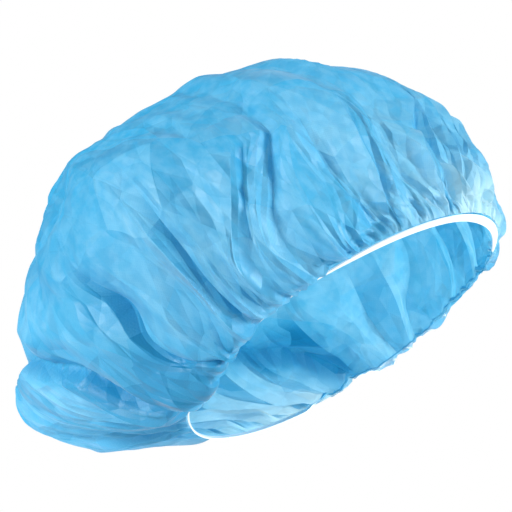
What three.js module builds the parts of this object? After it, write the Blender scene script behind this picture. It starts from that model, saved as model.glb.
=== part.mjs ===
// A disposable bouffant hair cover, in millimetres, +Z up, the brow towards -Y and the wearer's left towards +X.
// A round blank of thin nonwoven cloth is gathered into a flat elastic band, and puffs out above it. It is shaped
// as a head holds it: the band is a level oval in the cap's own frame, and the whole cap then leans back by the
// wearing slope, so that the nape hangs low. The origin is the middle of the band, where the head goes in.
import * as THREE from "three";

// Driving sizes
const WEARING_SLOPE = 36; // degrees that the nape side of the band hangs below the brow side
const CLOTH_WALL = 1.2;
const GATHERS = 48; // small tucks along the band
const BAND = { width: 5.6, thickness: 1.4, gap: 0.3, inset: 0.5 };

// Level sections through the smooth puff. path is the share of the way from the band to the crown's middle.
// rise is the height above the band's plane, shift how far the section's middle lies towards the nape, and the
// other columns reach from that middle to the cloth. droop lowers the cloth where it sags over the band.
const SECTIONS = [
  { path: 0.0, rise: 0, shift: 0, brow: 98, nape: 100, side: 78, droop: 0 },
  { path: 0.03, rise: 6, shift: 0, brow: 101, nape: 107, side: 82, droop: 13 },
  { path: 0.08, rise: 13, shift: 0, brow: 105, nape: 125, side: 91, droop: 22 },
  { path: 0.15, rise: 27, shift: 0, brow: 107, nape: 153, side: 103, droop: 24 },
  { path: 0.25, rise: 48, shift: 0, brow: 106, nape: 175, side: 113, droop: 16 },
  { path: 0.36, rise: 73, shift: 4, brow: 103, nape: 172, side: 118, droop: 8 },
  { path: 0.47, rise: 97, shift: 14, brow: 104, nape: 142, side: 113, droop: 2 },
  { path: 0.59, rise: 120, shift: 26, brow: 97, nape: 105, side: 98, droop: 0 },
  { path: 0.72, rise: 138, shift: 36, brow: 73, nape: 73, side: 74, droop: 0 },
  { path: 0.86, rise: 149, shift: 42, brow: 37, nape: 38, side: 39, droop: 0 },
  { path: 1.0, rise: 152, shift: 44, brow: 0, nape: 0, side: 0, droop: 0 },
];
// Where the droop is deepest, in degrees from the brow towards the wearer's left, and its share on that side.
const DROOPS = [
  { turn: -106, spread: 27, share: 1 },
  { turn: -60, spread: 22, share: 0.5 },
  { turn: 106, spread: 40, share: 0.35 },
];

// Broad waves that the gathers send up the puff. Each fades in and out along the path.
const WAVES = [
  { count: 48, start: -0.01, full: 0.0, end: 0.1, height: 1.5, phase: 10 },
  { count: 27, start: 0.0, full: 0.08, end: 0.28, height: 1.5, phase: 55 },
  { count: 11, start: 0.1, full: 0.35, end: 0.8, height: 1.5, phase: 200 },
  { count: 5, start: 0.2, full: 0.5, end: 1.0, height: 2.0, phase: 120 },
];

// Creases that run up from the band. Each starts low on the cloth at a turn, leans so many degrees by its high end
// and bows sideways half way. A valley has a depth above zero, a ridge below it, and the push fades over so many
// millimetres to its left and right, seen from outside.
const CREASES = [
  // the brow and the wearer's right, as the photograph shows them
  { turn: 10, low: 0.02, high: 0.26, lean: -1, bow: -1.5, depth: 3, left: 4, right: 6 },
  { turn: -1, low: 0.01, high: 0.28, lean: 6, bow: 0, depth: 2.5, left: 4, right: 5 },
  { turn: -5.5, low: 0, high: 0.33, lean: 7.5, bow: -2.5, depth: 5, left: 5, right: 7 },
  { turn: -10.5, low: 0.02, high: 0.34, lean: 10.5, bow: -3.5, depth: -5, left: 13, right: 4 },
  { turn: -16, low: 0, high: 0.25, lean: -2, bow: -3, depth: 5, left: 7, right: 7 },
  { turn: -21, low: 0, high: 0.22, lean: -2, bow: -2.5, depth: 4, left: 5, right: 6 },
  { turn: -30, low: 0.03, high: 0.24, lean: 7.5, bow: -1, depth: -4, left: 12, right: 5 },
  { turn: -36, low: 0, high: 0.27, lean: 1, bow: -1.5, depth: 6, left: 12, right: 9 },
  { turn: -52.5, low: 0.03, high: 0.31, lean: 9.5, bow: -0.5, depth: -5, left: 14, right: 14 },
  { turn: -52, low: 0.02, high: 0.14, lean: -8.5, bow: -1.5, depth: 4, left: 5, right: 5 },
  { turn: -60, low: 0.09, high: 0.33, lean: 15, bow: 0.5, depth: 5, left: 8, right: 12 },
  { turn: -64, low: 0.1, high: 0.43, lean: 17.5, bow: 0, depth: -5, left: 12, right: 9 },
  { turn: -75, low: 0.07, high: 0.26, lean: 9, bow: 0, depth: 3, left: 4, right: 4 },
  { turn: -78, low: 0.03, high: 0.26, lean: 4, bow: 0, depth: -3, left: 5, right: 8 },
  { turn: -83, low: 0, high: 0.29, lean: 5.5, bow: 1, depth: 5, left: 9, right: 6 },
  { turn: -87, low: 0.1, high: 0.4, lean: 2.5, bow: 2, depth: -5, left: 16, right: 8 },
  { turn: -92, low: 0.05, high: 0.23, lean: 3, bow: 1, depth: 3, left: 5, right: 5 },
  { turn: -104, low: 0.02, high: 0.39, lean: -1, bow: 2.5, depth: 8, left: 12, right: 10 },
  { turn: -38, low: 0.33, high: 0.66, lean: -8, bow: 0, depth: 6, left: 14, right: 12 },
  // the wearer's left, as the photograph shows its inside
  { turn: 70, low: 0.02, high: 0.24, lean: 3, bow: 0, depth: 4, left: 9, right: 7 },
  { turn: 78, low: 0.02, high: 0.26, lean: -2, bow: 0, depth: -4, left: 7, right: 8 },
  { turn: 92, low: 0.03, high: 0.26, lean: -8, bow: 0, depth: 5, left: 8, right: 14 },
  { turn: 96, low: 0.01, high: 0.37, lean: 2.5, bow: 2, depth: -4, left: 8, right: 5 },
  { turn: 104, low: 0.06, high: 0.36, lean: -2, bow: 0, depth: 5, left: 6, right: 6 },
  { turn: 107, low: 0.14, high: 0.4, lean: 1, bow: 0, depth: -4, left: 5, right: 8 },
  { turn: 111, low: 0.16, high: 0.4, lean: 7, bow: 0, depth: 3, left: 5, right: 6 },
  { turn: 117, low: 0.12, high: 0.33, lean: 2.5, bow: 0, depth: 4, left: 6, right: 6 },
  { turn: 130, low: 0.1, high: 0.34, lean: -6, bow: 0, depth: 4, left: 5, right: 6 },
  { turn: 136, low: 0.08, high: 0.36, lean: -3, bow: -1, depth: -5, left: 6, right: 9 },
  { turn: 149, low: 0.05, high: 0.32, lean: -7, bow: 0, depth: 4, left: 9, right: 8 },
  // what the photograph hides: the left of the brow, the nape and the crown
  { turn: 18, low: 0, high: 0.24, lean: 3, bow: 1, depth: 4, left: 7, right: 6 },
  { turn: 25, low: 0.02, high: 0.3, lean: 4, bow: -1, depth: -4, left: 9, right: 6 },
  { turn: 33, low: 0, high: 0.31, lean: 6, bow: 0, depth: 5, left: 8, right: 9 },
  { turn: 44, low: 0.02, high: 0.27, lean: -2, bow: 1, depth: -4, left: 9, right: 9 },
  { turn: 53, low: 0, high: 0.31, lean: -5, bow: -1, depth: 5, left: 9, right: 8 },
  { turn: 61, low: 0.03, high: 0.28, lean: 4, bow: 0, depth: -4, left: 8, right: 8 },
  { turn: 162, low: 0, high: 0.22, lean: 3, bow: 0, depth: 4, left: 8, right: 7 },
  { turn: 176, low: 0.01, high: 0.26, lean: -4, bow: 0, depth: -3, left: 9, right: 8 },
  { turn: 188, low: 0, high: 0.22, lean: 3, bow: 0, depth: 4, left: 8, right: 8 },
  { turn: 203, low: 0.01, high: 0.25, lean: -4, bow: 0, depth: -2, left: 9, right: 7 },
  { turn: 214, low: 0, high: 0.2, lean: 4, bow: 0, depth: 3, left: 7, right: 6 },
  { turn: 20, low: 0.35, high: 0.64, lean: -14, bow: 0, depth: 4, left: 12, right: 12 },
  { turn: 62, low: 0.36, high: 0.72, lean: 14, bow: 0, depth: 5, left: 14, right: 12 },
  { turn: 130, low: 0.42, high: 0.76, lean: -20, bow: 0, depth: 4, left: 12, right: 14 },
  { turn: 168, low: 0.46, high: 0.78, lean: 16, bow: 0, depth: -4, left: 14, right: 14 },
  { turn: 214, low: 0.45, high: 0.76, lean: 16, bow: 0, depth: 4, left: 14, right: 12 },
  { turn: 248, low: 0.44, high: 0.72, lean: 14, bow: 0, depth: 4, left: 14, right: 14 },
];

// The roll above the nape, where the puff folds over the lobe under it: half of its line, mirrored on the other side.
const NAPE_ROLL = {
  left: 8,
  right: 20,
  half: [
    { turn: 124, path: 0.02, depth: 2 },
    { turn: 122, path: 0.12, depth: 9 },
    { turn: 125, path: 0.24, depth: 11 },
    { turn: 136, path: 0.37, depth: 9 },
    { turn: 153, path: 0.4, depth: 8 },
    { turn: 180, path: 0.42, depth: 7 },
  ],
};

const radians = THREE.MathUtils.degToRad;

// The shorter way round from one turn to another, in degrees.
const turnBetween = (from, to) => THREE.MathUtils.euclideanModulo(to - from + 180, 360) - 180;

// A column of the section table at any path, on a smooth curve through the rows.
function column(name, path) {
  const rows = SECTIONS;
  let i = 0;
  while (i < rows.length - 2 && path > rows[i + 1].path) i += 1;
  const slope = (k) => {
    const before = rows[Math.max(k - 1, 0)];
    const after = rows[Math.min(k + 1, rows.length - 1)];
    return (after[name] - before[name]) / (after.path - before.path);
  };
  const span = rows[i + 1].path - rows[i].path;
  const t = (path - rows[i].path) / span;
  const blend = t * t * (3 - 2 * t);
  return (
    rows[i][name] * (1 - blend) +
    rows[i + 1][name] * blend +
    span * t * (1 - t) * (slope(i) * (1 - t) - slope(i + 1) * t)
  );
}

// The smooth puff, before any wave or crease.
function puff(turn, path) {
  const along = Math.cos(radians(turn));
  const reach = along > 0 ? column("brow", path) : column("nape", path);
  let sag = 0;
  for (const droop of DROOPS) {
    sag += droop.share * Math.exp(-((turnBetween(droop.turn, turn) / droop.spread) ** 2));
  }
  return new THREE.Vector3(
    column("side", path) * Math.sin(radians(turn)),
    column("shift", path) - reach * along,
    column("rise", path) - column("droop", path) * sag,
  );
}

// The smooth puff at a place, with its outward direction and how many millimetres a degree and a step of path are.
function sample(turn, path) {
  const step = 0.004;
  const near = Math.min(path, 1 - 3 * step);
  const here = puff(turn, near);
  const round = puff(turn + 1, near).sub(here);
  const up = puff(turn, near + step).sub(here);
  return {
    place: puff(turn, path),
    outward: round.clone().cross(up).normalize(),
    perDegree: round.length(),
    perPath: up.length() / step,
  };
}

const ease = (t) => {
  const k = THREE.MathUtils.clamp(t, 0, 1);
  return k * k * (3 - 2 * k);
};

// How high a wave stands at a place. The slow drift of its phase keeps its folds from looking combed.
function waveHeight(wave, turn, path) {
  const rising = ease((path - wave.start) / (wave.full - wave.start));
  const falling = 1 - ease((path - wave.full) / (wave.end - wave.full));
  const drift = 1.3 * Math.sin(radians(3 * turn + wave.phase)) + 0.8 * Math.sin(radians(7 * turn));
  const swell = 0.75 + 0.25 * Math.sin(radians(2 * turn + 2 * wave.phase));
  const ripple = Math.cos(radians(wave.count * turn + wave.phase) + drift);
  return wave.height * swell * rising * falling * ripple;
}

// The points of a crease's row, with its depth strongest a third of the way up.
function creaseRoute({ turn, low, high, lean, bow, depth }) {
  const start = low < 0.03 ? 0.35 : 0;
  return [0, 0.17, 0.35, 0.6, 1].map((share) => ({
    turn: turn + lean * share + bow * Math.sin(Math.PI * share),
    path: THREE.MathUtils.lerp(low, high, share),
    depth: depth * (share < 0.35 ? THREE.MathUtils.lerp(start, 1, share / 0.35) : 1 - ease((share - 0.35) / 0.65)),
  }));
}

function napeRollRoute() {
  const right = NAPE_ROLL.half.map((point) => ({ ...point, turn: -point.turn }));
  const left = NAPE_ROLL.half.map((point) => ({ ...point, turn: point.turn - 360 }));
  return [...right, ...left.reverse().slice(1)];
}

const FOLDS = [
  ...CREASES.map((crease) => ({ ...crease, route: creaseRoute(crease) })),
  { ...NAPE_ROLL, route: napeRollRoute() },
];

// How far a fold pushes the cloth at a place: a sharp line along its route, fading to each side.
function foldPush(fold, turn, path, { perDegree, perPath }) {
  let strongest = 0;
  for (let i = 0; i < fold.route.length - 1; i += 1) {
    const [from, to] = [fold.route[i], fold.route[i + 1]];
    const start = new THREE.Vector2(turnBetween(turn, from.turn) * perDegree, (from.path - path) * perPath);
    const run = new THREE.Vector2((to.turn - from.turn) * perDegree, (to.path - from.path) * perPath);
    const share = THREE.MathUtils.clamp(-start.dot(run) / run.lengthSq(), 0, 1);
    const reach = run.cross(start) < 0 ? fold.left : fold.right;
    const fade = 1 - start.clone().addScaledVector(run, share).length() / reach;
    const push = Math.max(0, fade) * THREE.MathUtils.lerp(from.depth, to.depth, share);
    if (Math.abs(push) > Math.abs(strongest)) strongest = push;
  }
  return strongest;
}

// The cloth's outer face at a place: the puff, pushed in and out by the waves and folds.
function cloth(turn, path) {
  const puffed = sample(turn, path);
  let push = 0;
  for (const wave of WAVES) push += waveHeight(wave, turn, path);
  for (const fold of FOLDS) push -= foldPush(fold, turn, path, puffed);
  return puffed.place.addScaledVector(puffed.outward, push);
}

// The rings of points that the cloth is meshed with, closest together in the gathered skirt.
const RINGS = [
  { from: 0, to: 0.125, rings: 6, points: 4 * GATHERS },
  { from: 0.16, to: 0.74, rings: 14, points: 2 * GATHERS },
  { from: 0.8, to: 0.95, rings: 4, points: GATHERS },
];

function clothRings() {
  return RINGS.flatMap(({ from, to, rings, points }) =>
    Array.from({ length: rings }, (_, i) => ({
      path: THREE.MathUtils.lerp(from, to, i / (rings - 1)),
      count: points,
    })),
  );
}

// The outer face as points and triangles: rings stitched to each other, and the last one to the crown's middle.
function clothFace() {
  const points = [];
  const triangles = [];
  const rings = clothRings();
  for (const ring of rings) {
    ring.first = points.length;
    for (let i = 0; i < ring.count; i += 1) points.push(cloth((360 * i) / ring.count, ring.path));
  }
  const middle = points.length;
  points.push(cloth(0, 1));
  for (let r = 0; r < rings.length - 1; r += 1) {
    const low = rings[r];
    const high = rings[r + 1];
    const fine = low.count / high.count;
    for (let i = 0; i < high.count; i += 1) {
      const next = (i + 1) % high.count;
      const left = high.first + i;
      const right = high.first + next;
      for (let k = 0; k < fine; k += 1) {
        const a = low.first + i * fine + k;
        const b = low.first + ((i * fine + k + 1) % low.count);
        triangles.push([a, b, k < fine / 2 ? left : right]);
      }
      triangles.push([left, low.first + ((i * fine + Math.ceil(fine / 2)) % low.count), right]);
    }
  }
  const last = rings.at(-1);
  for (let i = 0; i < last.count; i += 1) {
    triangles.push([last.first + i, last.first + ((i + 1) % last.count), middle]);
  }
  return { points, triangles, edge: rings[0].count };
}

function geometryOf(points, triangles) {
  const geometry = new THREE.BufferGeometry();
  geometry.setFromPoints(points);
  geometry.setIndex(triangles.flat());
  geometry.computeVertexNormals();
  return geometry;
}

// A face given its wall: the same face again on the inside, and a strip that closes the gathered edge.
function clothWall() {
  const { points, triangles, edge } = clothFace();
  const normals = geometryOf(points, triangles).getAttribute("normal");
  const count = points.length;
  const inner = points.map((point, i) =>
    point.clone().addScaledVector(new THREE.Vector3().fromBufferAttribute(normals, i), -CLOTH_WALL),
  );
  const walls = [...triangles, ...triangles.map(([a, b, c]) => [a + count, c + count, b + count])];
  for (let i = 0; i < edge; i += 1) {
    const next = (i + 1) % edge;
    walls.push([i, i + count, next], [next, i + count, next + count]);
  }
  return geometryOf([...points, ...inner], walls);
}

// How far the band's lower edge is rolled in under the head, in degrees, from the brow round to the nape.
const bandRoll = (turn) => 6 + 58 * Math.sin(radians(turn)) ** 2 + 24 * Math.sin(radians(turn / 2)) ** 2;

// The elastic band: a flat strip, its top just under the gathered edge, rolled about that top.
function elasticBand() {
  const points = [];
  const triangles = [];
  const corners = 4;
  const steps = 2 * GATHERS;
  for (let i = 0; i < steps; i += 1) {
    const turn = (360 * i) / steps;
    const along = puff(turn + 1, 0).sub(puff(turn - 1, 0));
    const out = new THREE.Vector3(along.y, -along.x, 0).normalize();
    const top = puff(turn, 0).addScaledVector(out, -BAND.inset - BAND.thickness / 2).setZ(-BAND.gap);
    const roll = radians(bandRoll(turn));
    const down = out.clone().multiplyScalar(-Math.sin(roll)).setZ(-Math.cos(roll));
    const face = out.clone().multiplyScalar(Math.cos(roll)).setZ(-Math.sin(roll));
    const lift = (BAND.thickness / 2) * Math.sin(roll);
    for (const [depth, side] of [[0, 1], [0, -1], [1, -1], [1, 1]]) {
      points.push(
        top
          .clone()
          .addScaledVector(down, depth * BAND.width)
          .addScaledVector(face, (side * BAND.thickness) / 2)
          .add(new THREE.Vector3(0, 0, -lift)),
      );
    }
    const next = (i + 1) % steps;
    for (let k = 0; k < corners; k += 1) {
      const a = i * corners + k;
      const b = i * corners + ((k + 1) % corners);
      const c = next * corners + k;
      const d = next * corners + ((k + 1) % corners);
      triangles.push([a, c, b], [b, c, d]);
    }
  }
  return geometryOf(points, triangles);
}

const nonwovenCloth = new THREE.MeshStandardMaterial({ color: 0x6bbdea, roughness: 0.75, metalness: 0 });
const whiteElastic = new THREE.MeshStandardMaterial({ color: 0xf4f6f8, roughness: 0.85, metalness: 0 });

function piece(name, geometry, material) {
  const mesh = new THREE.Mesh(geometry, material);
  mesh.name = name;
  return mesh;
}

const cap = new THREE.Group();
cap.rotation.x = -radians(WEARING_SLOPE);
cap.add(piece("cloth_crown", clothWall(), nonwovenCloth));
cap.add(piece("elastic_band", elasticBand(), whiteElastic));

const hairCover = new THREE.Group();
hairCover.add(cap);
export default hairCover;
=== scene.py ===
# A disposable bouffant hair cover, open and puffed out as a head holds it: a round blank of thin blue
# nonwoven cloth, gathered into a flat white elastic. +Z is up, -Y the brow, +X the wearer's left, in metres.
from math import cos, pi, radians, sin

import bpy
import numpy as np
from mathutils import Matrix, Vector


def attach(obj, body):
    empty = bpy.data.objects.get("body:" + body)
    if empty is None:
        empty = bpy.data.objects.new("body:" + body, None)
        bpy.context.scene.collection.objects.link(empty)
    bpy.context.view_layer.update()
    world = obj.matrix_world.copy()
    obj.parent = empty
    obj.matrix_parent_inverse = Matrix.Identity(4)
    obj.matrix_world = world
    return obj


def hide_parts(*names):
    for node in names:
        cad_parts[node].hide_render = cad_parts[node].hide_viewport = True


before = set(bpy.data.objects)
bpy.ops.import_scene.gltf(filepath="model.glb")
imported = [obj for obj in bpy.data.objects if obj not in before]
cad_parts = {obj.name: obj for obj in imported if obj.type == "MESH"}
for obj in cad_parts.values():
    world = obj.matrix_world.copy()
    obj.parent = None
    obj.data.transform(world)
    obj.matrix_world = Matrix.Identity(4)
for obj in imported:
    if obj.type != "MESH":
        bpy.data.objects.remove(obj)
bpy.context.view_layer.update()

MM = 0.001

# Camera and studio

PIXEL = 0.51 * MM
PICTURE_WIDTH = 512
LENS = 200
SENSOR = 36
CAMERA_TURN = radians(-51)
TOWARDS_CAMERA = Vector((sin(CAMERA_TURN), -cos(CAMERA_TURN), 0))
ACROSS = Vector((cos(CAMERA_TURN), sin(CAMERA_TURN), 0))
UP = Vector((0, 0, 1))
MIDDLE_OF_VIEW = -43 * MM * ACROSS + 38 * MM * UP
BACKDROP_LIGHT = 0.43


def set_camera():
    data = bpy.data.cameras.new("camera")
    data.lens = LENS
    data.sensor_width = SENSOR
    data.clip_start = 0.05
    data.clip_end = 100
    camera = bpy.data.objects.new("camera", data)
    bpy.context.collection.objects.link(camera)
    camera.location = MIDDLE_OF_VIEW + TOWARDS_CAMERA * (PIXEL * PICTURE_WIDTH * LENS / SENSOR)
    camera.rotation_euler = TOWARDS_CAMERA.to_track_quat("Z", "Y").to_euler()
    bpy.context.scene.camera = camera


def add_softbox(name, direction, distance, size, power):
    data = bpy.data.lights.new(name, "AREA")
    data.shape = "DISK"
    data.size = size
    data.energy = power
    lamp = bpy.data.objects.new(name, data)
    bpy.context.collection.objects.link(lamp)
    lamp.location = MIDDLE_OF_VIEW + direction.normalized() * distance
    lamp.rotation_euler = direction.to_track_quat("Z", "Y").to_euler()
    lamp.visible_camera = False


def set_studio():
    """A white backdrop that lights the cap more weakly than it shows, and four round softboxes."""
    world = bpy.data.worlds.new("pale_studio")
    world.use_nodes = True
    nodes = world.node_tree.nodes
    links = world.node_tree.links
    backdrop = nodes["Background"]
    backdrop.inputs["Color"].default_value = (1, 1, 1, 1)
    path = nodes.new("ShaderNodeLightPath")
    strength = nodes.new("ShaderNodeMapRange")
    strength.inputs["To Min"].default_value = BACKDROP_LIGHT
    strength.inputs["To Max"].default_value = 1.0
    links.new(path.outputs["Is Camera Ray"], strength.inputs["Value"])
    links.new(strength.outputs["Result"], backdrop.inputs["Strength"])
    bpy.context.scene.world = world
    add_softbox("key", TOWARDS_CAMERA * 0.7 - ACROSS * 1.3 + UP * 0.45, 1.6, 0.35, 24)
    add_softbox("ceiling", TOWARDS_CAMERA * 0.3 - ACROSS * 0.2 + UP * 1.0, 1.6, 1.6, 3)
    add_softbox("brow_light", ACROSS * 1.2 + TOWARDS_CAMERA * 0.45 + UP * 0.3, 1.5, 0.5, 28)
    add_softbox("back_light", TOWARDS_CAMERA * -1.0 + ACROSS * 0.1 - UP * 0.2, 1.5, 0.5, 17)
    view = bpy.context.scene.view_settings
    view.view_transform = "Standard"
    view.look = "None"


set_camera()
set_studio()


# Shader maths


class Shade:
    """A socket of a material's nodes. Sums and products of such sockets add Math nodes."""

    def __init__(self, tree, socket=None):
        self.tree = tree
        self.socket = socket

    def add(self, kind, settings=None, values=None, output=0):
        """A new node, its settings first and then the values or links of its sockets."""
        node = self.tree.nodes.new(kind)
        for name, value in (settings or {}).items():
            setattr(node, name, value)
        for name, value in (values or {}).items():
            socket = node.inputs[name]
            if isinstance(value, Shade):
                self.tree.links.new(value.socket, socket)
            else:
                socket.default_value = value
        return Shade(self.tree, node.outputs[output] if node.outputs else None)

    def maths(self, operation, *terms):
        return self.add("ShaderNodeMath", {"operation": operation}, dict(enumerate(terms)))

    def __add__(self, other):
        return self.maths("ADD", self, other)

    def __sub__(self, other):
        return self.maths("SUBTRACT", self, other)

    def __mul__(self, other):
        return self.maths("MULTIPLY", self, other)

    def __pow__(self, other):
        return self.maths("POWER", self, other)

    def __radd__(self, other):
        return self.maths("ADD", other, self)

    def __rsub__(self, other):
        return self.maths("SUBTRACT", other, self)

    def __rmul__(self, other):
        return self.maths("MULTIPLY", other, self)

    def step(self, low, high):
        """From 0 to 1, smoothly, as this value goes from low to high."""
        settings = {"interpolation_type": "SMOOTHSTEP"}
        values = {"Value": self, "From Min": low, "From Max": high}
        return self.add("ShaderNodeMapRange", settings, values)

    def blend(self, low, high):
        """A colour between low and high, by this value."""
        settings = {"data_type": "RGBA"}
        low = low if isinstance(low, Shade) else (*low, 1)
        high = high if isinstance(high, Shade) else (*high, 1)
        return self.add("ShaderNodeMix", settings, {0: self, 6: low, 7: high}, output=2)

    def uv_map(self, name):
        return self.add("ShaderNodeUVMap", {"uv_map": name})

    def part(self, index):
        """One of the three numbers of a vector."""
        return self.add("ShaderNodeSeparateXYZ", values={0: self}, output=index)


def new_material(name):
    material = bpy.data.materials.new(name)
    material.use_nodes = True
    material.node_tree.nodes.clear()
    return material, Shade(material.node_tree)


def finish_material(shade, surface):
    shade.add("ShaderNodeOutputMaterial", values={"Surface": surface})


# Materials

# The cloth's colours: pale to deep by fibre thickness and a random tone for each facet, partly painted sheen,
# and darker towards the crown's middle; the bonded dots; cloth that the band stretches, painted paler, partly
# as painted light shining through it; cloth lying doubled, with painted shade; and the deepest painted shade.
PALE_FIBRE_AND_SHEEN = (0.33, 0.70, 0.87)
DEEP_FIBRE = (0.03, 0.43, 0.70)
BONDED_DOT = (0.09, 0.47, 0.74)
THIN_CLOTH_PAINTED_LIGHT = (0.58, 0.85, 0.92)
DOUBLE_CLOTH_AND_SHADE = (0.03, 0.38, 0.64)
DEEPEST_PAINTED_SHADE = (0.012, 0.27, 0.50)
DOTS_PER_MM = 0.8
# How many facets of the fan's fine crumpling lie round the cap and up it.
PLEAT_CELLS = (70, 6, 1)
# Where the gathers start and where they are full, from the blank's middle, as shares of the blank's side.
GATHERED_FROM = 0.24
GATHERED_FULLY = 0.38

# The elastic's colours: darker in the grooves between its ribs and loops and lighter on them, as painted
# shade, and where the cloth covers it.
KNIT_PAINTED_SHADE = (0.66, 0.76, 0.82)
KNIT_PAINTED_LIGHT = (0.78, 0.86, 0.91)
COVERED_ELASTIC = (0.20, 0.61, 0.82)
# How many ribs lie across the strip and how many loops along it.
RIBS = 7
LOOPS = 560


def crumple(shade, plane, size, across, slope):
    """Flat facets between sharp folds, on cells so many units of the plane and so many millimetres across.

    What comes back is their height in millimetres and a tone for each.
    """
    settings = {"voronoi_dimensions": "2D"}
    values = {"Vector": plane, "Scale": 1 / size}
    tone = shade.add("ShaderNodeTexVoronoi", settings, values, output=1)
    from_fold = shade.add("ShaderNodeTexVoronoi", dict(settings, feature="DISTANCE_TO_EDGE"), values)
    return from_fold * (across * slope), tone.part(2)


def make_nonwoven():
    """Spunbond cloth: uneven clouds of fibre, rows of small bonded dots, and light that comes through it."""
    material, shade = new_material("nonwoven_cloth")
    blank = shade.uv_map("blank")
    millimetres = shade.add(
        "ShaderNodeVectorMath", {"operation": "SCALE"}, {0: blank, "Scale": BLANK_SIDE / MM}
    )
    noise = {"noise_dimensions": "2D"}
    clouds = shade.add("ShaderNodeTexNoise", noise, {"Vector": millimetres, "Scale": 0.11, "Detail": 5})
    fibres = shade.add("ShaderNodeTexNoise", noise, {"Vector": millimetres, "Scale": 1.6, "Detail": 3})
    thickness = clouds.step(0.3, 0.7) * 0.5 + fibres * 0.3
    slanted = shade.add(
        "ShaderNodeMapping",
        values={"Vector": millimetres, "Rotation": (0, 0, pi / 4), "Scale": (DOTS_PER_MM,) * 3},
    )
    from_dot = shade.add(
        "ShaderNodeTexVoronoi",
        {"voronoi_dimensions": "2D"},
        {"Vector": slanted, "Scale": 1, "Randomness": 0},
    )
    bonded = 1 - from_dot.step(0.16, 0.3)

    fan = shade.add(
        "ShaderNodeVectorMath", {"operation": "MULTIPLY"}, {0: shade.uv_map("fan"), 1: PLEAT_CELLS}
    )
    broad, broad_tone = crumple(shade, millimetres, 46, 46, 0.23)
    small, small_tone = crumple(shade, millimetres, 17, 17, 0.1)
    pleats, pleat_tone = crumple(shade, fan, 1, 12, 0.35)
    from_middle = shade.add(
        "ShaderNodeVectorMath", {"operation": "DISTANCE"}, {0: blank, 1: (0.5, 0.5, 0)}, output=1
    )
    gathered = from_middle.step(GATHERED_FROM, GATHERED_FULLY)
    laps_with_painted_light = shade.uv_map("laps_with_painted_light")
    # How dark the cloth is painted: where it lies doubled, and painted shade in the pocket and under the nape
    # roll.
    lapped_and_painted_shade = laps_with_painted_light.part(0) * (fibres * 0.3 + small_tone * 0.4 + 0.5)
    # Paler where the band stretches the cloth, partly painted light shining through it.
    thin_and_painted_light = laps_with_painted_light.part(1) * (0.5 + pleat_tone)

    # Fibre thickness, and a random tone for each facet of the crumpling, which paints sheen on some facets.
    tone = thickness * 0.5 + broad_tone * 0.25 + small_tone * 0.1 + pleat_tone * gathered * 0.3
    # Darker towards the crown's middle, where the cloth is not gathered.
    tone = tone + 0.45 - gathered * 0.45
    colour = tone.blend(PALE_FIBRE_AND_SHEEN, DEEP_FIBRE)
    colour = (bonded * 0.3).blend(colour, BONDED_DOT)
    colour = thin_and_painted_light.blend(colour, THIN_CLOTH_PAINTED_LIGHT)
    colour = lapped_and_painted_shade.blend(colour, DOUBLE_CLOTH_AND_SHADE)
    # The strongest of these get the deepest painted shade.
    colour = (lapped_and_painted_shade**3).blend(colour, DEEPEST_PAINTED_SHADE)
    height = small - broad + pleats * gathered + thickness * 0.02 - bonded * 0.025
    relief = shade.add("ShaderNodeBump", values={"Height": height, "Strength": 1, "Distance": MM})
    face = shade.add(
        "ShaderNodeBsdfPrincipled",
        values={
            "Base Color": colour,
            "Roughness": 0.48,
            "Specular IOR Level": 0.55,
            "Sheen Weight": 0.1,
            "Sheen Roughness": 0.45,
            "Normal": relief,
        },
    )
    through = shade.add("ShaderNodeBsdfTranslucent", values={"Color": colour, "Normal": relief})
    single = 0.5 - lapped_and_painted_shade * 0.25
    finish_material(shade, shade.add("ShaderNodeMixShader", values={0: single, 1: face, 2: through}))
    return material


def make_white_elastic():
    """Knitted elastic: fine ribs along the strip and the rows of loops across them."""
    material, shade = new_material("white_elastic")
    strip = shade.uv_map("strip")
    along = strip.part(0)
    ribs = shade.maths("SINE", strip.part(1) * (2 * pi * RIBS))
    loops = shade.maths("SINE", along * (2 * pi * LOOPS))
    height = ribs * 0.5 + loops * 0.25
    relief = shade.add("ShaderNodeBump", values={"Height": height, "Strength": 0.5, "Distance": 0.15 * MM})
    # Painted shade: darker in the grooves between the ribs and loops, lighter on their tops.
    colour = (height * 0.4 + 0.5).blend(KNIT_PAINTED_SHADE, KNIT_PAINTED_LIGHT)
    # The shares of the way round between which the cloth is turned over the strip, on the wearer's left.
    covered = along.step(0.61, 0.64) * (1 - along.step(0.86, 0.89))
    colour = covered.blend(colour, COVERED_ELASTIC)
    face = shade.add(
        "ShaderNodeBsdfPrincipled",
        values={"Base Color": colour, "Roughness": 0.8, "Specular IOR Level": 0.3, "Normal": relief},
    )
    finish_material(shade, face)
    return material


def make_pale_floor():
    material, shade = new_material("pale_floor")
    face = shade.add(
        "ShaderNodeBsdfPrincipled", values={"Base Color": (0.86, 0.86, 0.86, 1), "Roughness": 1.0}
    )
    finish_material(shade, face)
    return material


# The cloth's form, in the cap's own frame and in millimetres

WEARING_SLOPE = 36
# The blank's side is in metres.
BLANK_SIDE = 0.533

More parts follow.
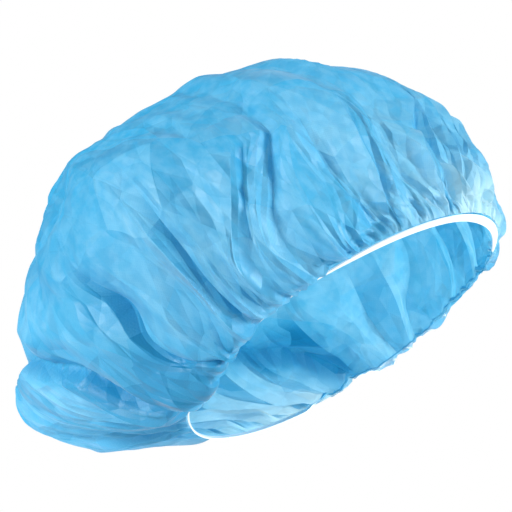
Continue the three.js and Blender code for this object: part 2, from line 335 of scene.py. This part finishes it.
# Level sections through the smooth puff, by the share of the way from the band to the crown's middle.
SECTIONS = [
    dict(path=0.0, rise=0, shift=0, brow=101, nape=98, side=78, droop=0),
    dict(path=0.03, rise=6, shift=0, brow=103, nape=107, side=82, droop=16),
    dict(path=0.08, rise=13, shift=0, brow=104, nape=121, side=91, droop=26),
    dict(path=0.15, rise=27, shift=0, brow=105, nape=146, side=102, droop=27),
    dict(path=0.25, rise=48, shift=0, brow=102, nape=172, side=113, droop=16),
    dict(path=0.36, rise=73, shift=4, brow=102, nape=178, side=118, droop=8),
    dict(path=0.47, rise=98, shift=14, brow=100, nape=140, side=110, droop=2),
    dict(path=0.59, rise=119.5, shift=26, brow=94, nape=95, side=93, droop=0),
    dict(path=0.72, rise=135.5, shift=36, brow=77, nape=77, side=75, droop=0),
    dict(path=0.86, rise=142.5, shift=42, brow=43, nape=42, side=42, droop=0),
    dict(path=1.0, rise=142.5, shift=44, brow=0, nape=0, side=0, droop=0),
]
# Where the cloth sags lowest over the band, in degrees from the brow towards the wearer's left.
DROOPS = [
    dict(turn=-106, spread=27, share=1),
    dict(turn=-60, spread=22, share=0.5),
    dict(turn=106, spread=40, share=0.35),
    dict(turn=162, spread=21, share=-0.24),
    dict(turn=56, spread=14, share=0.25),
]
# Broad waves that the gathers send up the puff.
WAVES = [
    dict(count=48, start=-0.01, full=0.03, end=0.12, height=1.8, phase=10),
    dict(count=27, start=0.0, full=0.08, end=0.28, height=1.5, phase=55),
    dict(count=11, start=0.1, full=0.35, end=0.8, height=1.5, phase=200),
    dict(count=5, start=0.2, full=0.5, end=0.9, height=2.0, phase=120),
]
# Waves that end below this path come from the gathering, and weaken where it does.
GATHERING_END = 0.3
# Small sharp tucks that the stitching holds along the band.
TUCKS = [
    dict(count=104, start=-0.005, full=0.03, end=0.1, height=2.5, phase=30),
    dict(count=59, start=0.0, full=0.07, end=0.22, height=2.7, phase=200),
    dict(count=33, start=0.03, full=0.13, end=0.36, height=2.2, phase=80),
]
# Flat facets that thin cloth breaks into: so many round the cap and up it, which lean so many facets on
# their way up.
FACETS = [
    dict(around=21, along=4, height=3.5, lean=1.0, seed=5),
    dict(around=34, along=5, height=1.8, lean=1.5, seed=4),
    dict(around=84, along=11, height=1.1, lean=-2.0, seed=9),
]
# The folds that run up from the band like a fan, in order round the cap: the turns of each at the five
# levels, how far it stands out low down and higher up, in millimetres, and how dark the cloth is painted from
# it to the next one, partly for cloth lying doubled and partly as painted shade.
FAN_LEVELS = (0, 0.09, 0.18, 0.27, 0.36)
FAN = [
    dict(turns=(-173, -173, -174, -174, -174), low=3, high=2, lap_and_shade=0),
    dict(turns=(-166, -166, -166, -165, -165), low=-3, high=-2, lap_and_shade=0),
    dict(turns=(-158, -157, -156, -156, -156), low=3, high=2, lap_and_shade=0.5),
    dict(turns=(-151, -150, -149, -149, -149), low=-3, high=-1, lap_and_shade=0.4),
    dict(turns=(-144, -143, -143, -144, -144), low=2, high=1, lap_and_shade=0.75),
    dict(turns=(-138, -137, -138, -139, -139), low=-1, high=0, lap_and_shade=0.5),
    dict(turns=(-134, -134, -135, -135, -135), low=1, high=0, lap_and_shade=0),
    dict(turns=(-130, -130.5, -132, -132, -132), low=-3, high=-1, lap_and_shade=0),
    dict(turns=(-125, -125, -126, -127, -127), low=2, high=0, lap_and_shade=0.85),
    dict(turns=(-118, -118, -120, -121, -121), low=-1, high=-1, lap_and_shade=0.7),
    dict(turns=(-111, -111, -113, -113, -112), low=3, high=3, lap_and_shade=0.4),
    dict(turns=(-103, -104, -107, -106, -106.5), low=2, high=1, lap_and_shade=0.45),
    dict(turns=(-98, -97.7, -104, -103, -104), low=-1, high=-2, lap_and_shade=1),
    dict(turns=(-96, -95.5, -102, -101, -102.5), low=-5, high=-9, lap_and_shade=0.1),
    dict(turns=(-94.3, -93.8, -95, -96, -98), low=1.5, high=1, lap_and_shade=0),
    dict(turns=(-92.5, -92, -87.2, -89.5, -92), low=-2.5, high=-1.5, lap_and_shade=0.1),
    dict(turns=(-87.5, -86, -84.5, -84, -84), low=2.5, high=4, lap_and_shade=0.6),
    dict(turns=(-82, -81.4, -81.7, -80.3, -79.2), low=-4, high=-3.5, lap_and_shade=0),
    dict(turns=(-79, -78.6, -78.2, -77, -76.8), low=2.5, high=1, lap_and_shade=0.15),
    dict(turns=(-75, -76.2, -75.2, -72, -70), low=-1.5, high=-1.5, lap_and_shade=0),
    dict(turns=(-71, -73, -72, -62, -53), low=1.5, high=4, lap_and_shade=0.25),
    dict(turns=(-67, -68.5, -66, -58.5, -49.5), low=-2.5, high=-1, lap_and_shade=0),
    dict(turns=(-62.5, -62.5, -62.8, -55, -44.5), low=2, high=3, lap_and_shade=0.35),
    dict(turns=(-54, -55, -58.3, -49.6, -41.5), low=-4, high=-3, lap_and_shade=0),
    dict(turns=(-49.5, -50.8, -48.4, -46.3, -39.5), low=3.5, high=3.5, lap_and_shade=0.1),
    dict(turns=(-47, -47.5, -43, -40, -36.5), low=2, high=1.5, lap_and_shade=0.5),
    dict(turns=(-36.5, -36.1, -36.3, -34.2, -33), low=-5.5, high=-5, lap_and_shade=0),
    dict(turns=(-33, -31.2, -26.4, -24, -22), low=3, high=3.5, lap_and_shade=0.6),
    dict(turns=(-31, -29.8, -24.8, -22, -20), low=-1.5, high=0, lap_and_shade=0),
    dict(turns=(-25.5, -26.6, -22.2, -19.5, -18), low=3, high=1.5, lap_and_shade=0.55),
    dict(turns=(-18.5, -20, -19.4, -17, -14.5), low=-1.5, high=-1, lap_and_shade=0.3),
    dict(turns=(-15.3, -17.3, -17.2, -14.8, -12), low=-5, high=-3.5, lap_and_shade=0),
    dict(turns=(-12, -11.1, -9.2, -3.5, 5), low=4.5, high=4, lap_and_shade=0.7),
    dict(turns=(-5.2, -4.6, -2.3, 1.2, 6.6), low=-5, high=-4, lap_and_shade=0),
    dict(turns=(-3.5, -3.1, -0.2, 3.5, 8.3), low=1.5, high=1, lap_and_shade=0.2),
    dict(turns=(-2, -1.7, 2.5, 5.8, 10), low=-1.5, high=-2, lap_and_shade=0),
    dict(turns=(1, 1.5, 5, 9, 13), low=2, high=1.5, lap_and_shade=0.35),
    dict(turns=(3.5, 4.5, 7.5, 12, 16), low=-2.5, high=-2, lap_and_shade=0),
    dict(turns=(6.5, 8, 11.5, 15.5, 19), low=2, high=2, lap_and_shade=0.35),
    dict(turns=(9, 13.5, 17, 20, 23), low=-4, high=-2, lap_and_shade=0),
    dict(turns=(14, 18, 21, 24, 27), low=3, high=2.5, lap_and_shade=0),
    dict(turns=(20, 23, 26, 29, 32), low=-4, high=-2, lap_and_shade=0),
    dict(turns=(28, 30, 32, 35, 37), low=3, high=3, lap_and_shade=0.5),
    dict(turns=(35, 37, 38.5, 41, 43), low=-4, high=-3, lap_and_shade=0),
    dict(turns=(42, 43, 44, 45, 48), low=2, high=3, lap_and_shade=0),
    dict(turns=(52, 51, 50, 50, 53), low=-4, high=-2, lap_and_shade=0),
    dict(turns=(57, 58, 60, 60, 60), low=3, high=3, lap_and_shade=0.6),
    dict(turns=(64, 65, 66, 67, 68), low=-4, high=-3, lap_and_shade=0),
    dict(turns=(71, 72, 73, 74, 75), low=2, high=3, lap_and_shade=0.55),
    dict(turns=(80, 79, 78, 79, 80), low=-2, high=-3, lap_and_shade=0),
    dict(turns=(92, 89, 84, 84, 85), low=3.5, high=3, lap_and_shade=0.35),
    dict(turns=(96, 98, 97, 93, 91), low=-3, high=-2, lap_and_shade=0),
    dict(turns=(99, 101, 101, 100, 99), low=2, high=2, lap_and_shade=0.5),
    dict(turns=(104, 105, 106, 106, 105), low=-3, high=-3.5, lap_and_shade=0),
    dict(turns=(107, 108, 109, 110, 111), low=2, high=3, lap_and_shade=0),
    dict(turns=(114, 113, 113, 114, 116), low=-2.5, high=-2, lap_and_shade=0),
    dict(turns=(118, 117, 116.5, 118, 119), low=2.5, high=2.5, lap_and_shade=0.7),
    dict(turns=(121, 121, 121.5, 124, 125), low=-4, high=-3, lap_and_shade=0),
    dict(turns=(126, 126, 127, 129, 129.5), low=2, high=1, lap_and_shade=0.3),
    dict(turns=(130, 130.5, 131, 132, 132.5), low=-2, high=-1.5, lap_and_shade=0),
    dict(turns=(134, 134.5, 135, 136, 137), low=2.5, high=3, lap_and_shade=0.6),
    dict(turns=(141, 141, 141, 142, 142), low=-5, high=-2, lap_and_shade=0),
    dict(turns=(146, 146, 146.5, 147, 147), low=4, high=2, lap_and_shade=0.7),
    dict(turns=(150, 150.5, 151, 151, 152), low=-4, high=-1, lap_and_shade=0),
    dict(turns=(156, 156, 156, 157, 158), low=4.5, high=2, lap_and_shade=0.6),
    dict(turns=(164, 164, 163, 163, 164), low=-4.5, high=-2, lap_and_shade=0),
    dict(turns=(171, 171, 170, 169, 169), low=4, high=2, lap_and_shade=0.4),
    dict(turns=(179, 179, 178, 178, 177), low=-3, high=-2, lap_and_shade=0),
]
# Where the cloth is gathered less, because it hangs smoothly over the band.
CALMS = [
    dict(turn=102, spread=46, share=0.7),
    dict(turn=-88, spread=30, share=0.75),
    dict(turn=160, spread=22, share=0.55),
]
# Where the band pulls the cloth thin and it is painted pale, partly for the thin cloth and partly as painted
# light shining through it, up to a path.
STRETCHES_AND_PAINTED_LIGHT = [
    dict(turn=10, spread=28, high=0.24, share=1.1),
    dict(turn=146, spread=28, high=0.34, share=0.9),
]
# Creases over the crown. Each leans so many degrees by its high end. A valley has a depth above zero and a
# ridge one below it, and the push fades over so many millimetres to its left and right, seen from outside.
CREASES = [
    dict(turn=-38, low=0.33, high=0.66, lean=-8, depth=6, left=14, right=12),
    dict(turn=20, low=0.35, high=0.64, lean=-14, depth=4, left=12, right=12),
    dict(turn=62, low=0.36, high=0.72, lean=14, depth=5, left=14, right=12),
    dict(turn=130, low=0.42, high=0.76, lean=-20, depth=4, left=12, right=14),
    dict(turn=168, low=0.46, high=0.78, lean=16, depth=-4, left=14, right=14),
    dict(turn=214, low=0.45, high=0.76, lean=16, depth=4, left=14, right=12),
    dict(turn=248, low=0.44, high=0.72, lean=14, depth=4, left=14, right=14),
    dict(turn=-80, low=0.62, high=0.84, lean=-44, depth=-3.5, left=24, right=24),
    dict(turn=-34, low=0.58, high=0.84, lean=-18, depth=-2.5, left=26, right=26),
    dict(turn=0, low=0.36, high=0.56, lean=10, depth=-3.5, left=22, right=22),
]
# Half of the line of the roll above the nape, mirrored on the other side.
NAPE_ROLL = [
    dict(turn=121, path=0.02, depth=3),
    dict(turn=119, path=0.12, depth=10),
    dict(turn=122.5, path=0.24, depth=12),
    dict(turn=134, path=0.37, depth=10),
    dict(turn=153, path=0.4, depth=8),
    dict(turn=180, path=0.42, depth=7),
]
# The roll's push fades over so many millimetres to either side, and the painted shade under it over more.
NAPE_ROLL_LEFT = 6
NAPE_ROLL_RIGHT = 16
ROLL_SHADE_LEFT = 16
ROLL_SHADE_RIGHT = 30
ROLL_SHADE_DEPTH = 11
# The middle of the painted shade in the pocket where the cloth hangs over the band, and that of the smooth
# cloth on the wearer's left.
POCKET_SHADE_TURN = -116
SMOOTH_TURN = 112


def ease(share):
    share = np.clip(share, 0, 1)
    return share * share * (3 - 2 * share)


def turn_between(start, end):
    """The shorter way round from one turn to another, in degrees."""
    return (end - start + 180) % 360 - 180


def hump(middle, turn, spread):
    """A share that is 1 at the middle turn and fades smoothly to both sides over about so many degrees."""
    return np.exp(-((turn_between(middle, turn) / spread) ** 2))


def smooth_curve(paths, values, path):
    """A smooth curve through rows of values at rising paths, read at any path."""
    last = len(paths) - 1
    before = np.maximum(np.arange(last + 1) - 1, 0)
    after = np.minimum(np.arange(last + 1) + 1, last)
    slopes = (values[after] - values[before]) / (paths[after] - paths[before])
    i = np.clip(np.searchsorted(paths, path, side="left") - 1, 0, last - 1)
    span = paths[i + 1] - paths[i]
    share = (path - paths[i]) / span
    blend = share * share * (3 - 2 * share)
    curve = span * share * (1 - share) * (slopes[i] * (1 - share) - slopes[i + 1] * share)
    return values[i] * (1 - blend) + values[i + 1] * blend + curve


def column(name, path):
    """A column of the section table at any path."""
    paths = np.array([row["path"] for row in SECTIONS])
    values = np.array([float(row[name]) for row in SECTIONS])
    return smooth_curve(paths, values, path)


def puff(turn, path):
    """The smooth puff, before any wave or crease, as rows of x, y and z."""
    angle = np.radians(turn)
    along = np.cos(angle)
    reach = np.where(along > 0, column("brow", path), column("nape", path))
    sag = np.zeros_like(turn)
    for droop in DROOPS:
        sag += droop["share"] * hump(droop["turn"], turn, droop["spread"])
    x = column("side", path) * np.sin(angle)
    y = column("shift", path) - reach * along
    z = column("rise", path) - column("droop", path) * sag
    return np.stack([x, y, z], axis=1)


def lengths(rows):
    return np.sqrt((rows * rows).sum(axis=1))


def puff_measures(turn, path):
    """The puff's outward directions, and how many millimetres a degree and a step of path are."""
    step = 0.004
    near = np.minimum(path, 1 - 3 * step)
    here = puff(turn, near)
    round_way = puff(turn + 1, near) - here
    up_way = puff(turn, near + step) - here
    outward = np.cross(round_way, up_way)
    outward /= lengths(outward)[:, None]
    return outward, lengths(round_way), lengths(up_way) / step


def strength(row, path):
    """How much of a wave or tuck there is along the path."""
    rising = ease((path - row["start"]) / (row["full"] - row["start"]))
    falling = 1 - ease((path - row["full"]) / (row["end"] - row["full"]))
    return row["height"] * rising * falling


def calm(turn):
    """The share of the gathering that is left at a turn."""
    gathering = np.ones_like(turn, dtype=float)
    for row in CALMS:
        gathering -= row["share"] * hump(row["turn"], turn, row["spread"])
    return gathering


def wave_height(wave, turn, path):
    drift = 1.3 * np.sin(np.radians(3 * turn + wave["phase"])) + 0.8 * np.sin(np.radians(7 * turn))
    swell = 0.75 + 0.25 * np.sin(np.radians(2 * turn + 2 * wave["phase"]))
    ripple = np.cos(np.radians(wave["count"] * turn + wave["phase"]) + drift)
    height = strength(wave, path) * swell * ripple
    return height * calm(turn) if wave["end"] < GATHERING_END else height


def tuck_height(tuck, turn, path):
    """Sharp little folds of uneven width and height."""
    angle = np.radians(turn)
    drift = 1.7 * np.sin(9 * angle + tuck["phase"]) + 1.1 * np.sin(17 * angle + 2) + 0.8 * np.sin(29 * angle)
    swell = 0.62 + 0.22 * np.sin(13 * angle + tuck["phase"]) + 0.16 * np.sin(31 * angle + 1)
    fold = np.arcsin(0.985 * np.cos(tuck["count"] * angle + tuck["phase"] + drift)) / 1.4
    return strength(tuck, path) * swell * fold * calm(turn)


def crease_route(crease):
    """The points of a crease's row, with its depth strongest a third of the way up."""
    deepest = 0.35
    points = []
    for share in (0, 0.17, deepest, 0.6, 1):
        rising = share / deepest
        falling = 1 - float(ease((share - deepest) / 0.65))
        points.append(
            dict(
                turn=crease["turn"] + crease["lean"] * share,
                path=crease["low"] + (crease["high"] - crease["low"]) * share,
                depth=crease["depth"] * (rising if share < deepest else falling),
            )
        )
    return points


def nape_roll_route():
    right = [dict(point, turn=-point["turn"]) for point in NAPE_ROLL]
    left = [dict(point, turn=point["turn"] - 360) for point in reversed(NAPE_ROLL[:-1])]
    return right + left


def fold_push(route, left, right, turn, path, per_degree, per_path):
    """How far a fold pushes the cloth in: a sharp line along its route, fading to each side."""
    strongest = np.zeros_like(turn)
    for start, end in zip(route, route[1:]):
        from_x = turn_between(turn, start["turn"]) * per_degree
        from_y = (start["path"] - path) * per_path
        run_x = (end["turn"] - start["turn"]) * per_degree
        run_y = (end["path"] - start["path"]) * per_path
        share = np.clip(-(from_x * run_x + from_y * run_y) / (run_x**2 + run_y**2), 0, 1)
        reach = np.where(run_x * from_y - run_y * from_x < 0, left, right)
        fade = 1 - np.hypot(from_x + run_x * share, from_y + run_y * share) / reach
        push = np.maximum(0, fade) * (start["depth"] + (end["depth"] - start["depth"]) * share)
        strongest = np.where(np.abs(push) > np.abs(strongest), push, strongest)
    return strongest


def facet_height(facet, turn, path):
    """Heights joined by flat triangles, on a grid that wanders a little so that no two facets look alike."""
    numbers = np.random.default_rng(facet["seed"])
    heights = numbers.uniform(-1, 1, (facet["along"] + 3, facet["around"]))
    angle = np.radians(turn)
    wander = 0.45 * np.sin(5 * angle + 9 * path) + 0.35 * np.sin(11 * angle - 7 * path + 1)
    along = facet["along"] * path + 0.5 + 0.4 * np.sin(7 * angle + 3 * path)
    around = facet["around"] * turn / 360 + facet["lean"] * path + wander + along / 2
    row = np.floor(along).astype(int)
    place = np.floor(around).astype(int)
    up = along - row
    over = around - place
    row += 1
    here = heights[row, place % facet["around"]]
    beside = heights[row, (place + 1) % facet["around"]]
    above = heights[row + 1, place % facet["around"]]
    corner = heights[row + 1, (place + 1) % facet["around"]]
    lower = here + over * (beside - here) + up * (above - here)
    upper = corner + (1 - over) * (above - corner) + (1 - up) * (beside - corner)
    height = np.where(over + up < 1, lower, upper)
    return facet["height"] * height * ease(path / 0.14) * (1 - ease((path - 0.5) / 0.35))


def lean_back(rows):
    """From the cap's own frame in millimetres to the worn frame in metres."""
    slope = radians(WEARING_SLOPE)
    x, y, z = rows.T
    return np.stack([x, y * cos(slope) + z * sin(slope), z * cos(slope) - y * sin(slope)], axis=1) * MM


def fan_turns(path):
    """The turn of every fold of the fan at one path."""
    levels = np.array(FAN_LEVELS, dtype=float)
    path = min(path, FAN_LEVELS[-1])
    return np.array([smooth_curve(levels, np.array(fold["turns"], dtype=float), path) for fold in FAN])


def fan_pushes(path):
    """How far every fold of the fan stands out at one path."""
    low = np.array([fold["low"] for fold in FAN], dtype=float)
    high = np.array([fold["high"] for fold in FAN], dtype=float)
    standing = low + (high - low) * ease((path - 0.09) / 0.18)
    valleys_rising = 0.1 + 0.9 * ease(path / 0.055)
    ridges_rising = 0.05 + 0.95 * ease((path - 0.015) / 0.085)
    falling = 1 - ease((path - 0.27) / 0.23)
    return standing * np.where(standing < 0, valleys_rising, ridges_rising) * falling


def fan_columns():
    """The mesh column that each fold of the fan follows, with more columns in the wider gaps."""
    widths = np.zeros(len(FAN))
    for path in FAN_LEVELS:
        turns = fan_turns(path)
        gaps = np.diff(np.append(turns, turns[0] + 360))
        widths += gaps / len(FAN_LEVELS)
    shares = 2 + widths / 360 * (COLUMNS - 2 * len(FAN))
    return np.concatenate([[0], np.round(np.cumsum(shares)[:-1])]).astype(int)


def cloth_places(turn, path, fanned):
    """The cloth's places in the worn frame, with all its folds. The fan is gentler by the left edge."""
    outward, per_degree, per_path = puff_measures(turn, path)
    push = fanned * (1 - hump(SMOOTH_TURN, turn, 40) * (1 - ease(path / 0.1)))
    for wave in WAVES:
        push += wave_height(wave, turn, path)
    for facet in FACETS:
        push += facet_height(facet, turn, path)
    for tuck in TUCKS:
        push += tuck_height(tuck, turn, path)
    for crease in CREASES:
        push -= fold_push(
            crease_route(crease), crease["left"], crease["right"], turn, path, per_degree, per_path
        )
    push -= fold_push(
        nape_roll_route(), NAPE_ROLL_LEFT, NAPE_ROLL_RIGHT, turn, path, per_degree, per_path
    )
    return lean_back(puff(turn, path) + outward * push[:, None])


# The rings that the cloth is meshed with, closest together round the tucks.
COLUMNS = 512
RINGS = [
    dict(low=0.0, high=0.118, rings=22, points=1024),
    dict(low=0.124, high=0.8, rings=108, points=512),
    dict(low=0.807, high=0.93, rings=18, points=256),
    dict(low=0.938, high=0.972, rings=5, points=128),
    dict(low=0.982, high=0.993, rings=2, points=64),
]


def cloth_mesh():
    """The turn, path, fan push and column of every point, the faces, and each face's fold of the fan."""
    folds_at = fan_columns()
    around = np.concatenate([folds_at, [COLUMNS]])
    turns, paths, fanned, columns = [], [], [], []
    faces, owners, rings = [], [], []
    for band in RINGS:
        for path in np.linspace(band["low"], band["high"], band["rings"]):
            rings.append((len(turns), band["points"]))
            here = np.arange(band["points"]) * COLUMNS / band["points"]
            lines = fan_turns(path)
            pushes = fan_pushes(path)
            turns.extend(np.interp(here, around, np.append(lines, lines[0] + 360)))
            fanned.extend(np.interp(here, around, np.append(pushes, pushes[0])))
            columns.extend(here)
            paths.extend([path] * band["points"])
    crown = len(turns)
    turns.append(0)
    paths.append(1)
    fanned.append(0)
    columns.append(0)
    for (low, many), (high, few) in zip(rings, rings[1:]):
        for i in range(few):
            left = high + i
            right = high + (i + 1) % few
            if many == few:
                faces.append((low + i, low + (i + 1) % many, right, left))
            else:
                start, middle, end = (low + (2 * i + k) % many for k in range(3))
                faces += [(start, middle, left), (middle, end, right), (left, middle, right)]
    first, count = rings[-1]
    faces += [(first + i, first + (i + 1) % count, crown) for i in range(count)]
    columns = np.array(columns)
    for face in faces:
        owners.append(int(np.searchsorted(folds_at, columns[face[0]] + 0.01)) - 1)
    return np.array(turns), np.array(paths, dtype=float), np.array(fanned), columns, faces, owners


def new_piece(name, places, faces):
    mesh = bpy.data.meshes.new(name)
    mesh.from_pydata([tuple(place) for place in places], [], faces)
    mesh.update()
    piece = bpy.data.objects.new(name, mesh)
    bpy.context.collection.objects.link(piece)
    for polygon in mesh.polygons:
        polygon.use_smooth = True
    return piece


def lay_uv(piece, name, flat):
    """A UV map from one pair of numbers for each vertex."""
    layer = piece.data.uv_layers.new(name=name)
    corners = np.empty(len(piece.data.loops), dtype=np.int32)
    piece.data.loops.foreach_get("vertex_index", corners)
    layer.data.foreach_set("uv", flat[corners].astype(np.float32).ravel())


def lay_laps_with_painted_light(piece, turn, path, owners):
    """A UV map whose first number says how dark the cloth is painted, and whose second how pale.

    The first is where the cloth lies doubled between the fan's folds, with painted shade in the pocket over
    the band and under the nape roll, and it changes sharply at the folds. The second is where the band
    stretches the cloth, partly painted light shining through it.
    """
    layer = piece.data.uv_layers.new(name="laps_with_painted_light")
    shown = ease(path / 0.02) * (1 - ease((path - 0.3) / 0.1))
    # Painted shade in the pocket where the cloth hangs over the band.
    pocket_top = 0.06 + 0.15 * hump(POCKET_SHADE_TURN, turn, 15)
    pocket_painted_shade = hump(POCKET_SHADE_TURN, turn, 40) * (1 - ease((path - pocket_top) / 0.11))
    _, per_degree, per_path = puff_measures(turn, path)
    # Painted shade under the nape roll.
    roll_painted_shade = fold_push(
        nape_roll_route(), ROLL_SHADE_LEFT, ROLL_SHADE_RIGHT, turn, path, per_degree, per_path
    )
    roll_painted_shade /= ROLL_SHADE_DEPTH
    thin_and_painted_light = np.zeros_like(turn)
    for row in STRETCHES_AND_PAINTED_LIGHT:
        fading = 1 - ease(path / row["high"])
        thin_and_painted_light += row["share"] * hump(row["turn"], turn, row["spread"]) * fading
    for polygon, owner in zip(piece.data.polygons, owners):
        for corner in polygon.loop_indices:
            vertex = piece.data.loops[corner].vertex_index
            double_and_painted_shade = FAN[owner]["lap_and_shade"] * shown[vertex] + pocket_painted_shade[vertex] + roll_painted_shade[vertex]
            layer.data[corner].uv = (min(1, double_and_painted_shade), thin_and_painted_light[vertex])


def lay_fan(piece, path, columns):
    """A UV map with the share of the way round in its first number and the path in its second."""
    layer = piece.data.uv_layers.new(name="fan")
    for polygon in piece.data.polygons:
        here = [columns[vertex] / COLUMNS for vertex in polygon.vertices]
        past_end = max(here) - min(here) > 0.5
        for corner, vertex, share in zip(polygon.loop_indices, polygon.vertices, here):
            layer.data[corner].uv = (share + (1 if past_end and share < 0.5 else 0), path[vertex])


def sharpen_folds(piece, path, columns):
    """Marks the mesh edges that lie along the fan's folds as sharp, as far up as the folds go."""
    on_fold = np.isin(columns, fan_columns()) & (path < 0.4)
    for edge in piece.data.edges:
        low, high = edge.vertices
        if on_fold[low] and on_fold[high] and columns[low] == columns[high]:
            edge.use_edge_sharp = True


def make_cloth():
    turn, path, fanned, columns, faces, owners = cloth_mesh()
    cloth = new_piece("bouffant_cloth", cloth_places(turn, path, fanned), faces)
    radius = (1 - path) / 2
    angle = np.radians(turn)
    flat = np.stack([0.5 + radius * np.sin(angle), 0.5 - radius * np.cos(angle)], axis=1)
    lay_uv(cloth, "blank", flat)
    lay_laps_with_painted_light(cloth, turn, path, owners)
    lay_fan(cloth, path, columns)
    sharpen_folds(cloth, path, columns)
    cloth.data.materials.append(make_nonwoven())
    return cloth


# The elastic, in millimetres and degrees

BAND_WIDTH = 4.4
BAND_THICKNESS = 0.7
BAND_INSET = 1.2
BAND_GAP = 0.3
BAND_STEPS = 480
BAND_ROWS = 6
# Where the cloth is turned over the band, on the wearer's left: from one turn to another, with a change over
# so many degrees at each end. The band then starts at a path and lies so far under the cloth's outer face.
HIDDEN_FROM = 40
HIDDEN_TO = 128
HIDDEN_CHANGE = 14
HIDDEN_PATH = 0.018
HIDDEN_DEPTH = 1.1
# About how long the cloth is there, from the band to the crown's middle.
CLOTH_LENGTH = 270
# How far the band's lower edge is rolled in under the head, in degrees.
BAND_ROLLS = [
    dict(turn=-180, roll=46),
    dict(turn=-160, roll=26),
    dict(turn=-145, roll=-2),
    dict(turn=-130, roll=-36),
    dict(turn=-114, roll=20),
    dict(turn=-98, roll=105),
    dict(turn=-78, roll=122),
    dict(turn=-58, roll=100),
    dict(turn=-50, roll=90),
    dict(turn=-40, roll=84),
    dict(turn=-25, roll=80),
    dict(turn=0, roll=80),
    dict(turn=20, roll=62),
    dict(turn=38, roll=56),
    dict(turn=60, roll=30),
    dict(turn=115, roll=30),
    dict(turn=132, roll=50),
    dict(turn=150, roll=50),
    dict(turn=180, roll=46),
]


def band_hanging(turn, share):
    """Places on the band's middle face where it hangs from the cloth's edge, by the share of its width."""
    edge = np.zeros_like(turn)
    along = puff(turn + 1, edge) - puff(turn - 1, edge)
    out = np.stack([along[:, 1], -along[:, 0], edge], axis=1)
    out /= lengths(out)[:, None]
    turns = np.array([row["turn"] for row in BAND_ROLLS], dtype=float)
    rolls = np.array([row["roll"] for row in BAND_ROLLS], dtype=float)
    roll = np.radians(smooth_curve(turns, rolls, np.maximum(turn, -179.9)))[:, None]
    down = -out * np.sin(roll) - np.array([0, 0, 1]) * np.cos(roll)
    top = puff(turn, edge) - out * BAND_INSET - np.array([0, 0, BAND_GAP])
    return lean_back(top + down * (share * BAND_WIDTH)[:, None])


def band_turned_in(turn, share):
    """The same places where the cloth's edge hides the band, which then lies on the cloth's inner face."""
    path = HIDDEN_PATH + share * BAND_WIDTH / CLOTH_LENGTH
    fanned = [np.interp(t, fan_turns(p), fan_pushes(p), period=360) for t, p in zip(turn, path)]
    outward, _, _ = puff_measures(turn, path)
    return cloth_places(turn, path, np.array(fanned)) - lean_back(outward * HIDDEN_DEPTH)


def band_places(turn, share):
    hidden = ease((turn - HIDDEN_FROM) / HIDDEN_CHANGE) * (1 - ease((turn - HIDDEN_TO) / HIDDEN_CHANGE))
    hanging = band_hanging(turn, share)
    return hanging + (band_turned_in(turn, share) - hanging) * hidden[:, None]


def make_elastic():
    """A circle extruded down row by row, then laid along the cloth's edge and given a wall."""
    bpy.ops.object.select_all(action="DESELECT")
    bpy.ops.mesh.primitive_circle_add(
        vertices=BAND_STEPS, radius=1, fill_type="NOTHING", enter_editmode=True
    )
    bpy.ops.mesh.select_all(action="SELECT")
    for _ in range(BAND_ROWS):
        bpy.ops.mesh.extrude_region_move(TRANSFORM_OT_translate={"value": (0, 0, -1)})
    bpy.ops.object.mode_set(mode="OBJECT")
    band = bpy.context.active_object
    band.name = "sewn_elastic"
    corners = np.array([vertex.co for vertex in band.data.vertices])
    turn = np.degrees(np.arctan2(corners[:, 0], -corners[:, 1]))
    share = -corners[:, 2] / BAND_ROWS
    for vertex, place in zip(band.data.vertices, band_places(turn, share)):
        vertex.co = place
    bpy.ops.object.mode_set(mode="EDIT")
    bpy.ops.mesh.select_all(action="SELECT")
    bpy.ops.mesh.normals_make_consistent(inside=False)
    bpy.ops.object.mode_set(mode="OBJECT")
    lay_uv(band, "strip", np.stack([turn / 360 + 0.5, share], axis=1))
    wall = band.modifiers.new("wall", "SOLIDIFY")
    wall.thickness = BAND_THICKNESS * MM
    wall.offset = 0
    bpy.ops.object.modifier_apply(modifier="wall")
    bpy.ops.object.shade_smooth_by_angle(angle=radians(40))
    band.data.materials.append(make_white_elastic())
    return band


# The floor, in metres
FLOOR_RADIUS = 3.5
FLOOR_HEIGHT = -0.45


def make_floor():
    bpy.ops.object.select_all(action="DESELECT")
    bpy.ops.mesh.primitive_circle_add(
        vertices=96, radius=FLOOR_RADIUS, fill_type="NGON", location=(0, 0, FLOOR_HEIGHT)
    )
    floor = bpy.context.active_object
    floor.name = "floor"
    floor.data.materials.append(make_pale_floor())


cloth = make_cloth()
elastic = make_elastic()
make_floor()

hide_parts("cloth_crown")
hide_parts("elastic_band")
for piece, slot in ((cloth, "nonwoven_cloth"), (elastic, "white_elastic")):
    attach(piece, "root")
